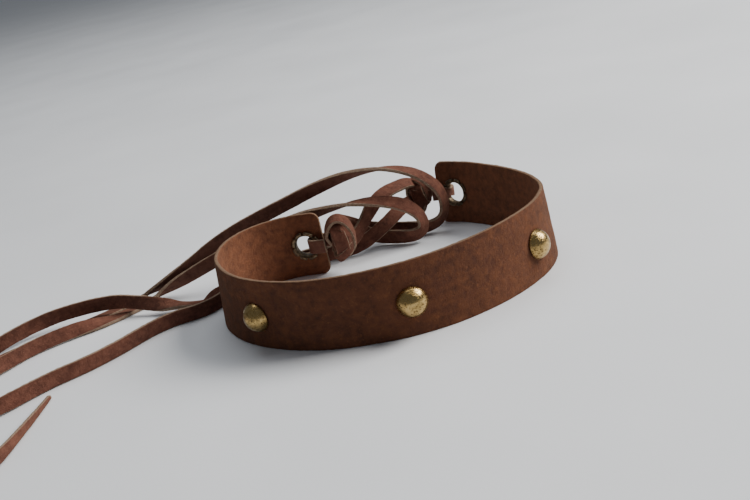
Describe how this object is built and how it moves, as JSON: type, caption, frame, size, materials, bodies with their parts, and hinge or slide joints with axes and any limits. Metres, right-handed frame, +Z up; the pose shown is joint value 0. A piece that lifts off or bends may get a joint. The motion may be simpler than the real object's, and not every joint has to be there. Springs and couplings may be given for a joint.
{
  "type": "headband",
  "caption": "Soft leather strip headband with domed brass rivets and an eyelet near each end, tied by knotted flat leather laces.",
  "frame": {"origin": "centre of the bent strip's bounding box, studs included and laces left out, at the level of its lower cut edge", "axes": "+Z up across the strip's height, +X across the loop, +Y from the studded front to the laced back"},
  "size_m": [0.2898, 0.171, 0.0389],
  "materials": {
    "suede": "napped brown suede with pale cut edges",
    "lace": "napped reddish brown leather thonging",
    "brass": "worn and speckled",
    "antique_brass": "dark antique, satin"
  },
  "bodies": {
    "root": {"band": "suede", "stud_dome_left": "brass", "stud_dome_centre": "brass", "stud_dome_right": "brass", "stud_post_left": "brass", "stud_post_centre": "brass", "stud_post_right": "brass", "eyelet_left": "antique_brass", "eyelet_right": "antique_brass", "lace_left_bight": "lace", "lace_left_knot": "lace", "lace_left_tail_a": "lace", "lace_left_tail_b": "lace", "lace_right_bight": "lace", "lace_right_knot": "lace", "lace_right_tail_c": "lace", "lace_right_tail_d": "lace"}
  },
  "joints": []
}
